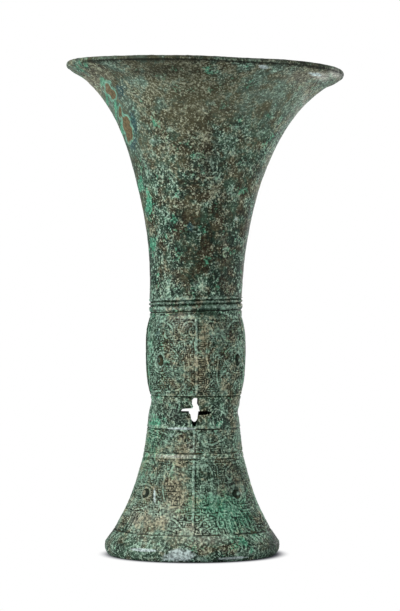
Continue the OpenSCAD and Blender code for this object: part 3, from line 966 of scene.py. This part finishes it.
# A dull brown with a little green, so that each square just parts from the bronze round it
chaplet_finish = patina(
    "brown_bronze_plug",
    deep=("#1c2214", "#2f2817"),
    ground=("#414a3a", "#4f4733"),
    crust=("#5f7766", "#746c55"),
    pale=("#8da08c", "#9a947a"),
)
finish_piece(floor_plugs, "floor_chaplets", chaplet_finish)

# Waist
# The swollen waist is bronze of the same pour: its wall carries two more masks, and three
# bow-string rings close it off above. It laps over the foot's top edge.
PANEL_TOP = 136.0
JOINT_Z = 148.5
NECK_R = 26.4
WAIST_R = 28.3
PANEL_LOW_R = 25.95
BORE_LOW_R = 23.55
BORE_TOP_R = 24.4
LEAN = math.radians(2.2)
# Height of the lap by which the neck sits in the waist
NECK_LAP = 4.0
BORE_ROWS = 8
# Heights and half thicknesses of the bow-string rings, and heights of the lines between them
RINGS = ((141.4, 1.1), (144.3, 0.6), (146.5, 0.6))
RING_LINES = (139.3, 143.1, 145.3)
RING_RISE = 0.4
RING_TILT = 0.035
LINE_DEEP = 0.5
WAIST_STEPS = 520
WAIST_TURN = 6.4
WAIST_SEAM_X = 0.5
NOSE_RISE = 0.42
WAIST_SPIRAL_W = 3.5
WAIST_EYE = (19.1, 20.6)
WAIST_EYE_SIZE = (4.6, 6.6)
# Height over which the rows turn level again below the neck's slant
SLANT_H = 1.6


def waist_radius(height):
    """A straight line between the panel's ends, with the waist's full swell added."""
    down = np.clip((PANEL_TOP - height) / (PANEL_TOP - FOOT_TOP), 0, 1)
    end_r = NECK_R + (PANEL_LOW_R - NECK_R) * down
    full = 1 - abs(2 * down**0.9 - 1) ** 2.6
    return end_r + (WAIST_R - (NECK_R + PANEL_LOW_R) / 2) * full


WAIST_STROKES = [
    # Horn, brow, lower lid, snout and jaw
    (0.59, [(3.6, 29), (5, 36), (9, 41.4), (15, 43), (22, 42.6), (28, 39), (26.6, 33.4), (22, 33.6),
            (23, 37)]),
    (0.50, [(10, 23.4), (14.6, 28.4), (21, 29.6), (27.4, 27.4), (31.4, 22.6)]),
    (0.42, [(11.4, 15.6), (17, 13.2), (23.4, 13.6), (28, 17.2), (30, 20.6)]),
    (0.50, [(3.4, 24.6), (4.6, 17), (4.6, 10), (8, 6), (11.6, 8.4), (9.8, 11.4), (7.6, 9.8)]),
    (0.46, [(3.2, 2.6), (10, 2.4), (17.4, 3), (21.4, 6.6), (18.6, 10), (15.4, 8)]),
    # Ear, trunk with its curl, body, claws and bar
    (0.42, [(32.6, 25), (35.2, 28), (34.6, 32), (31.4, 30.6)]),
    (0.55, [(32.6, 36), (35, 42), (40, 42.6), (42.4, 38.6), (40.6, 34.4), (37.2, 35.6), (38.4, 38.8)]),
    (0.46, [(40.6, 31), (41.6, 23), (39.6, 14)]),
    (0.50, [(34.4, 20), (35.6, 12), (33, 5), (28, 2.8), (24.6, 5), (26.4, 8)]),
    (0.42, [(36.6, 10), (40, 7.4), (42.4, 3)]),
    (0.25, [(37.6, 26), (37.4, 15)]),
]


def waist_relief(points):
    """Relief in mm of the waist's outside at points in mm, and how far each lies from an eye."""
    height = points[:, 2]
    angle = from_nose(points, WAIST_TURN)
    drift, rise = strayed(points)
    across = angle * WAIST_R + drift
    up = height - FOOT_TOP + rise
    relief = register_relief(across, up, WAIST_STROKES, WAIST_SPIRAL_W, SPIRAL_TURNS)
    relief, reach = with_eye(relief, across, up, WAIST_EYE, WAIST_EYE_SIZE, EYE_RISE)
    in_panel = in_register(FOOT_TOP + 0.6, PANEL_TOP - 0.4, height)
    relief *= in_panel * np.where(reach < EYE_END, 1, worn(points))
    relief = with_seam(relief, points, WAIST_SEAM_X, in_panel)
    relief = with_nose(relief, angle * WAIST_R, height, FOOT_TOP, PANEL_TOP, NOSE_RISE, in_panel)
    # The groove above the panel has worn to a third of its depth
    for level, deep in ((FOOT_TOP, GROOVE_DEEP), (PANEL_TOP, GROOVE_DEEP / 3)):
        relief -= deep * groove(height - level)
    tilted = height - RING_TILT * points[:, 0] + 0.35 * rough(points, 12.0, 2)
    for ring, half in RINGS:
        relief += RING_RISE * smooth_step(half + 0.5, half - 0.5, abs(tilted - ring))
    for line in RING_LINES:
        relief -= LINE_DEEP * smooth_step(0.65, 0.15, abs(tilted - line))
    return relief, reach


waist_rows = np.concatenate([
    levels(FOOT_TOP, PANEL_TOP, 0.36),
    levels(PANEL_TOP, JOINT_Z, 0.36),
    [JOINT_Z],
])
seat_z = JOINT_Z - NECK_LAP
bore_shares = [i / BORE_ROWS for i in range(1, BORE_ROWS)]
waist_outline = (
    [(BORE_LOW_R, LEDGE_Z), (FOOT_LAP_R, LEDGE_Z), (FOOT_LAP_R, FOOT_TOP)]
    + [(float(waist_radius(level)), level) for level in waist_rows]
    + [(NECK_R - WALL / 2, JOINT_Z), (NECK_R - WALL / 2, seat_z), (BORE_TOP_R, seat_z)]
    + [(BORE_TOP_R + (BORE_LOW_R - BORE_TOP_R) * share, seat_z - (seat_z - LEDGE_Z) * share)
       for share in bore_shares]
)
waist = turned("waist_cast", waist_outline, WAIST_STEPS)
at = points_of(waist.data)
outside = np.hypot(at[:, 0], at[:, 1]) > waist_radius(at[:, 2]) - WALL / 4
skin = at[outside]
relief, reach = waist_relief(skin)
push = relief + corrosion_relief(skin) * smooth_step(FOOT_TOP, FOOT_TOP + 0.5, skin[:, 2])
at[outside] = pushed(skin, outward_of(waist_radius, skin[:, 2]), push)
shade = np.zeros(len(at))
# Dark earth lies along both sides of the nose ridges
off_nose = from_nose(skin, WAIST_TURN) * WAIST_R
earthed = smooth_step(1.0, 0.5, abs(off_nose - NOSE_W / 2 - 0.3)) * (skin[:, 2] < PANEL_TOP)
shade[outside] = shade_of(relief, reach, heart=-0.4) * (1 - earthed) - 0.9 * earthed
# The lines between the rings hold less of it
shade[at[:, 2] > PANEL_TOP] *= 0.7
write_values(waist, "relief", shade)
# The top is cut on the slant that the neck leans with
slant = smooth_step(JOINT_Z - SLANT_H, JOINT_Z, at[:, 2]) * math.tan(LEAN)
at[:, 2] -= slant * at[:, 0]
set_points(waist.data, at)
finish_piece(waist, "waist", outer_patina)

# Neck
# The trumpet-shaped neck is the thinnest part of the casting. It sits in the waist's top and
# leans a little to its right, and a rounded bead strengthens its lip.
NECK_H = 130.5
MOUTH_R = 79.5
NECK_FLARE = (0.69, 2, 9.2)
# Radius of the lip's bead, and how far it stands out of the flare
LIP_R = 1.8
LIP_PROUD = 0.2
# Sides of the turned mesh, and its rows on the outside, in the bore and round the bead
NECK_STEPS = 400
NECK_ROWS = 165
NECK_BORE_ROWS = 52
LIP_ROWS = 12
# Height of the chaplets above the joint, and length of the bars that cut their holes
CHAPLET_Z = 14.0
HOLE_LONG = 4 * WALL
# Depths below the lip, and half widths, of the groove under its bead, painted dark as its shadow, and of
# its thicker metal
LIP_LINE_DOWN = 2.6
LIP_LINE_HALF = 0.7
LIP_LINE_DEEP = 0.25
LIP_SWELL_DOWN = 5.0
LIP_SWELL_HALF = 2.4
LIP_SWELL = 0.9
# How far the mouth's front dips and its back stands up, how that shifts from left to right, how
# far both sides stand up, and the depth, place and half width of the dent in its front
MOUTH_DIP = 1.1
MOUTH_TWIST = 1.2
MOUTH_WINGS = 0.6
DENT_DEEP = 0.5
DENT_AT = 0.3
DENT_HALF = 0.25


def unit(dr, dz):
    """Radial and upward parts of the direction that a surface faces, from its step along."""
    length = math.hypot(dr, dz)
    return dz / length, -dr / length


def spread_rate(share_up, slow_share, slow, quick):
    """How fast a flare spreads at a share of its height."""
    slow_part = slow_share * slow * share_up ** (slow - 1)
    return slow_part + (1 - slow_share) * quick * share_up ** (quick - 1)


mouth_out = unit((MOUTH_R - NECK_R) * spread_rate(1, *NECK_FLARE), NECK_H)
lip_centre = (MOUTH_R - LIP_R, NECK_H - LIP_R)
neck_end = [lip_centre[i] + (LIP_R - LIP_PROUD) * mouth_out[i] for i in (0, 1)]


def neck_radius(share_up):
    return NECK_R + (neck_end[0] - NECK_R) * spread(share_up, *NECK_FLARE)


def neck_slope(share_up):
    return (neck_end[0] - NECK_R) * spread_rate(share_up, *NECK_FLARE) / neck_end[1]


def neck_point(share_up, inset=0.0):
    """A point of the neck's outline, or of its inside at a depth below the surface."""
    radial, upward = unit(neck_slope(share_up), 1)
    return neck_radius(share_up) - inset * radial, neck_end[1] * share_up - inset * upward


def neck_shares(count):
    """Shares of the neck's height, closer together towards the mouth, where it bends most."""
    return [1 - (1 - i / count) ** 1.25 for i in range(count + 1)]


lip_start = math.atan2(mouth_out[1], mouth_out[0])
lip_turns = [lip_start + math.pi * i / LIP_ROWS for i in range(LIP_ROWS + 1)]
lap_r = NECK_R - WALL / 2 - LAP_FIT
neck_outline = (
    [(BORE_TOP_R, -NECK_LAP), (lap_r, -NECK_LAP), (lap_r, 0.0)]
    + [neck_point(share) for share in neck_shares(NECK_ROWS)]
    + [(lip_centre[0] + LIP_R * math.cos(turn), lip_centre[1] + LIP_R * math.sin(turn))
       for turn in lip_turns]
    + [neck_point(share, WALL) for share in neck_shares(NECK_BORE_ROWS)[::-1]]
)
# The neck is shaped upright on the joint, and then leant and set on the waist
neck = turned("trumpet_neck_cast", neck_outline, NECK_STEPS)
settle = Matrix.Translation((0, 0, JOINT_Z)) @ Matrix.Rotation(LEAN, 4, "Y")


def lip_line(at):
    """Share of the groove that runs round under the bead of the lip, painted dark as the bead's shadow, at
    points in mm.
    """
    level = np.exp(-(((at[:, 2] - NECK_H + LIP_LINE_DOWN) / LIP_LINE_HALF) ** 2))
    level *= np.hypot(at[:, 0], at[:, 1]) > MOUTH_R - 2
    return level * smooth_step(-0.92, -0.8, at[:, 0] / MOUTH_R)


def lip_dark(at):
    """How dark the lip is: the painted shadow under its bead, and the bead itself in places.

    The bead is darkest from the middle of the front to the right.
    """
    bead = smooth_step(NECK_H - 2.4, NECK_H - 1.9, at[:, 2])
    bead_dark = 0.2 + 0.45 * smooth_step(-0.25, 0.1, at[:, 0] / MOUTH_R) + 0.5 * rough(at, 5.0, 2)
    return np.clip(np.maximum(lip_line(at), bead * bead_dark), 0, 1)


def aged_neck(at):
    """Points in mm of the neck's wall with their corrosion, and with the lip pulled out of true."""
    radius = np.hypot(at[:, 0], at[:, 1])
    share_up = np.clip(at[:, 2] / neck_end[1], 0, 1)
    steep = neck_slope(share_up)
    length = np.hypot(1, steep)
    side = np.where(radius > neck_radius(share_up) - WALL / 2 * length, 1, -1)
    placed = at @ np.array(settle.to_3x3()).T + np.array(settle.translation)
    push = side * corrosion_relief(placed) * smooth_step(0, 0.5, at[:, 2])
    push -= LIP_LINE_DEEP * lip_line(at)
    forward, right = -at[:, 1] / radius, at[:, 0] / radius
    # The metal is thicker just under the lip at the left and the right
    swell = np.exp(-(((at[:, 2] - NECK_H + LIP_SWELL_DOWN) / LIP_SWELL_HALF) ** 2))
    push += LIP_SWELL * (side > 0) * swell * right**4
    moved = pushed(at, (1 / length, -steep / length), push)
    dent = DENT_DEEP * np.exp(-(((right - DENT_AT) / DENT_HALF) ** 2)) * (forward > 0)
    tipped = forward * (MOUTH_TWIST * right - MOUTH_DIP)
    moved[:, 2] += share_up**6 * (tipped + MOUTH_WINGS * right**2 - dent)
    return moved


at = points_of(neck.data)
# The painted shadow under the lip's bead, and the bead's darker parts
write_values(neck, "lip", lip_dark(at))
set_points(neck.data, aged_neck(at))
whole_wall = neck.data.copy()
chaplet_place = (NECK_R - WALL / 2, 0, CHAPLET_Z)
cut(neck, square_plugs("neck_holes", 4, 0.5, (HOLE_LONG, CHAPLET_W, CHAPLET_W), chaplet_place))
neck.data.transform(settle)
finish_piece(neck, "trumpet_neck", outer_patina)

# Neck chaplets
# Four square scraps of bronze that kept the beaker's core off its mould, locked into the wall
# by the pour and now hidden under the patina.
SEAM_GAP = 0.05
plug_w = CHAPLET_W - SEAM_GAP

# Each is the piece of the wall inside its hole, so it follows the wall on both faces
neck_plugs = bpy.data.objects.new("neck_plugs", whole_wall)
bpy.context.scene.collection.objects.link(neck_plugs)
plug_bars = square_plugs("plug_bars", 4, 0.5, (HOLE_LONG, plug_w, plug_w), chaplet_place)
cut(neck_plugs, plug_bars, "INTERSECT")
neck_plugs.data.transform(settle)
finish_piece(neck_plugs, "neck_chaplets", chaplet_finish)

# Studio
# White paper under the vessel and a white backdrop behind it, with a key softbox at the left, a
# weaker one at the right and a small one behind. The paper keeps only the foot's soft shadow.
# Places and sizes are in metres.
PAPER_HALF_W = 6.0
PAPER_WHITE = "#eeeef4"
# Grey painted into the paper round the foot: a painted contact shadow under the rendered one
SHADOW_GREY = "#7a7a88"
# The contact shadow fades out between these distances from the axis
SHADOW_START = 0.047
SHADOW_END = 0.056
FILL_LIGHT = 0.45

sheet = bmesh.new()
bmesh.ops.create_grid(sheet, x_segments=1, y_segments=1, size=PAPER_HALF_W)
mesh = bpy.data.meshes.new("studio_floor")
sheet.to_mesh(mesh)
sheet.free()
floor = bpy.data.objects.new("studio_floor", mesh)
bpy.context.scene.collection.objects.link(floor)

# Matt white paper, painted grey round the foot as a contact shadow, and seen by the camera as pure white
# beyond it
white = bpy.data.materials.new("white_paper_floor")
white.use_nodes = True
tree = white.node_tree
tree.nodes.clear()
place = node(tree, "TexCoord", out="Object")
out = node(tree, "VectorMath", {0: place}, out="Value", operation="LENGTH")
bright = node(tree, "MapRange", {"Value": out, "From Min": SHADOW_START, "From Max": SHADOW_END},
              interpolation_type="SMOOTHSTEP")
seen = node(tree, "LightPath", out="Is Camera Ray")
share = node(tree, "Math", {0: bright, 1: seen}, operation="MULTIPLY")
# The paper's colour turns from white to a painted shadow grey round the foot
shaded = node(tree, "Mix", {0: bright, 6: SHADOW_GREY, 7: PAPER_WHITE}, data_type="RGBA")
paper = node(tree, "BsdfDiffuse", {"Color": shaded})
glow = node(tree, "Emission", {"Color": "#ffffff", "Strength": 1.0})
surface = node(tree, "MixShader", {0: share, 1: paper, 2: glow})
node(tree, "OutputMaterial", {"Surface": surface})
floor.data.materials.append(white)

# The camera sees a white backdrop, and the vessel is filled in by weaker light from all round
world = bpy.data.worlds.new("studio")
bpy.context.scene.world = world
world.use_nodes = True
tree = world.node_tree
tree.nodes.clear()
seen = node(tree, "LightPath", out="Is Camera Ray")
fill = node(tree, "Background", {"Color": "#ffffff", "Strength": FILL_LIGHT})
backdrop = node(tree, "Background", {"Color": "#ffffff", "Strength": 1.0})
sky = node(tree, "MixShader", {0: seen, 1: fill, 2: backdrop})
node(tree, "OutputWorld", {"Surface": sky})


def softbox(name, place, aim, size, power):
    """A square area lamp that faces a point."""
    lamp = bpy.data.lights.new(name, "AREA")
    lamp.size = size
    lamp.energy = power
    stand = bpy.data.objects.new(name, lamp)
    bpy.context.scene.collection.objects.link(stand)
    stand.location = place
    direction = Matrix.Translation(aim).translation - stand.location
    stand.rotation_euler = direction.to_track_quat("-Z", "Y").to_euler()


softbox("key_softbox", (-1.3, -0.75, 0.6), (0, 0, 0.14), 0.7, 15.8)
softbox("side_softbox", (1.3, -0.2, 0.4), (0, 0, 0.16), 0.6, 6.7)
softbox("rim_softbox", (0.6, 1.0, 0.1), (0, 0, 0.2), 0.3, 1.1)

# The camera stands level, far enough off for the photograph's perspective
CAMERA_AT = (0.00367, -1.338, 0.1425)
LENS_MM = 137.3

lens = bpy.data.cameras.new("camera")
lens.sensor_fit = "VERTICAL"
lens.sensor_height = 36
lens.lens = LENS_MM
camera = bpy.data.objects.new("camera", lens)
bpy.context.scene.collection.objects.link(camera)
camera.location = CAMERA_AT
camera.rotation_euler = (math.radians(90), 0, 0)
bpy.context.scene.camera = camera
bpy.context.scene.view_settings.view_transform = "Standard"
